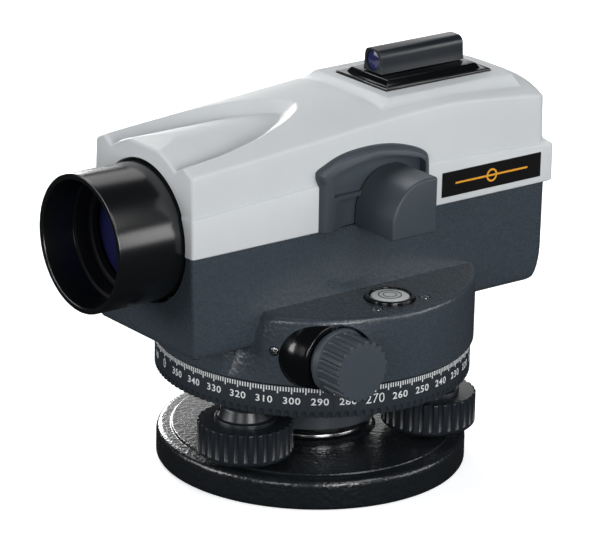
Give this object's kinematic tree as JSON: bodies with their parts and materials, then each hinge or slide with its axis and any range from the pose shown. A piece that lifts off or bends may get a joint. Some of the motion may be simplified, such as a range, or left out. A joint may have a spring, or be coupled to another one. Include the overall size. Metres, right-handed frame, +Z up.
{
  "type": "automatic level",
  "caption": "Surveyor's automatic level: a self-levelling telescope with worm slow motion, circular bubble, graduated circle and three foot screws.",
  "frame": {"origin": "on the vertical axis, at the underside of the foot plate", "axes": "+Z up along the vertical axis, -Y towards the objective, +X the side with the circular bubble"},
  "size_m": [0.126, 0.1935, 0.1435],
  "materials": {
    "cover": "satin",
    "paint": "hammered semi-gloss",
    "base": "hammered semi-gloss",
    "tube": "black anodised satin",
    "moulded": "fine matte grain",
    "gloss_black": "gloss",
    "circle": "satin, white scale",
    "steel": "turned",
    "brass": "turned",
    "glass": "coated",
    "vial": "clear over white",
    "label": "printed",
    "cast": "cast",
    "rubber": "soft matte"
  },
  "bodies": {
    "base": {"base_plate": "base"},
    "foot_1": {"foot_knob_1": "moulded", "foot_stem_1": "brass", "foot_sleeve_1": "moulded"},
    "foot_2": {"foot_knob_2": "moulded", "foot_stem_2": "brass", "foot_sleeve_2": "moulded"},
    "foot_3": {"foot_knob_3": "moulded", "foot_stem_3": "brass", "foot_sleeve_3": "moulded"},
    "spring": {"spring_plate": "steel"},
    "head": {"levelling_head": "cast", "spindle": "steel", "spindle_nut": "brass"},
    "circle": {"horizontal_circle": "circle"},
    "clutch": {"worm_wheel": "brass"},
    "alidade": {"lower_housing": "paint", "upper_cover": "cover", "axis_bush": "brass", "tube_seat": "cast", "objective_tube": "tube", "retaining_ring": "gloss_black", "objective_crown": "glass", "objective_flint": "glass", "compensator_frame": "cast", "fixed_prism": "glass", "roof_prism": "glass", "damping_magnet": "steel", "reticle_cell": "gloss_black", "reticle_glass": "glass", "eyepiece_holder": "tube", "drive_bush_left": "brass", "drive_bush_right": "brass", "vial_housing": "gloss_black", "bubble_vial": "vial", "vial_screw_front": "steel", "vial_screw_rear": "steel", "set_screw": "steel", "prism_bezel": "moulded", "prism_hood": "moulded", "bubble_mirror": "steel", "sight_base": "gloss_black", "sight_housing": "gloss_black", "sight_lens_front": "glass", "sight_lens_rear": "glass", "label_plate": "label"},
    "drive": {"drive_shaft": "steel", "drive_worm": "brass", "drive_knob_left": "moulded", "drive_knob_right": "moulded"},
    "focus": {"focus_knob": "moulded", "focus_pinion": "steel"},
    "focusing_lens": {"focus_cell": "gloss_black", "focus_lens": "glass"},
    "pendulum_body": {"pendulum": "cast", "pendulum_prism": "glass"},
    "dioptre": {"dioptre_ring": "moulded", "eyecup": "rubber"},
    "eye_slide": {"eye_cell": "brass", "eye_lens": "glass"}
  },
  "joints": [
    {"name": "tilt_a", "type": "hinge", "parent": "base", "child": "spring", "pos_m": [0, 0, 0.014], "axis": [0.9455, 0.3256, 0], "range_deg": [-1.2, 1.2]},
    {"name": "tilt_b", "type": "hinge", "parent": "spring", "child": "head", "pos_m": [0, 0, 0.014], "axis": [0.3256, -0.9455, 0], "range_deg": [-1.2, 1.2]},
    {"name": "foot_1_turn", "type": "hinge", "parent": "base", "child": "foot_1", "pos_m": [0.01335, -0.03877, 0.0085], "axis": [0, 0, 1], "range_deg": [-620, 620]},
    {"name": "foot_2_turn", "type": "hinge", "parent": "base", "child": "foot_2", "pos_m": [0.0269, 0.03094, 0.0085], "axis": [0, 0, 1], "range_deg": [-358, 358]},
    {"name": "foot_3_turn", "type": "hinge", "parent": "base", "child": "foot_3", "pos_m": [-0.04025, 0.00782, 0.0085], "axis": [0, 0, 1], "range_deg": [-358, 358]},
    {"name": "circle_turn", "type": "hinge", "parent": "head", "child": "circle", "pos_m": [0, 0, 0.04], "axis": [0, 0, 1], "continuous": true},
    {"name": "swing", "type": "hinge", "parent": "head", "child": "clutch", "pos_m": [0, 0, 0.0555], "axis": [0, 0, 1], "continuous": true},
    {"name": "fine_motion", "type": "hinge", "parent": "clutch", "child": "alidade", "pos_m": [0, 0, 0.0555], "axis": [0, 0, 1], "continuous": true},
    {"name": "drive_turn", "type": "hinge", "parent": "alidade", "child": "drive", "pos_m": [0, -0.028, 0.0555], "axis": [1, 0, 0], "continuous": true},
    {"name": "focus_turn", "type": "hinge", "parent": "alidade", "child": "focus", "pos_m": [0, -0.012, 0.086], "axis": [1, 0, 0], "range_deg": [-130, 130]},
    {"name": "focus_travel", "type": "slide", "parent": "alidade", "child": "focusing_lens", "axis": [0, 1, 0], "range_m": [-0.008, 0.008]},
    {"name": "pendulum_swing", "type": "hinge", "parent": "alidade", "child": "pendulum_body", "pos_m": [0, 0.029, 0.11], "axis": [1, 0, 0], "range_deg": [-0.5, 0.5]},
    {"name": "dioptre_turn", "type": "hinge", "parent": "alidade", "child": "dioptre", "pos_m": [0, 0.09, 0.0958], "axis": [0, 1, 0], "range_deg": [-150, 150]},
    {"name": "eye_travel", "type": "slide", "parent": "alidade", "child": "eye_slide", "axis": [0, 1, 0], "range_m": [-0.00125, 0.00125]}
  ],
  "couplings": [
    {"joint": "foot_1_turn", "follows": "tilt_a", "ratio": 515.22},
    {"joint": "foot_2_turn", "follows": "tilt_b", "ratio": -297.45},
    {"joint": "foot_3_turn", "follows": "tilt_b", "ratio": 297.45},
    {"joint": "drive_turn", "follows": "fine_motion", "ratio": 72},
    {"joint": "focus_travel", "follows": "focus_turn", "m_per_rad": -0.0035},
    {"joint": "eye_travel", "follows": "dioptre_turn", "m_per_rad": 0.000458}
  ]
}
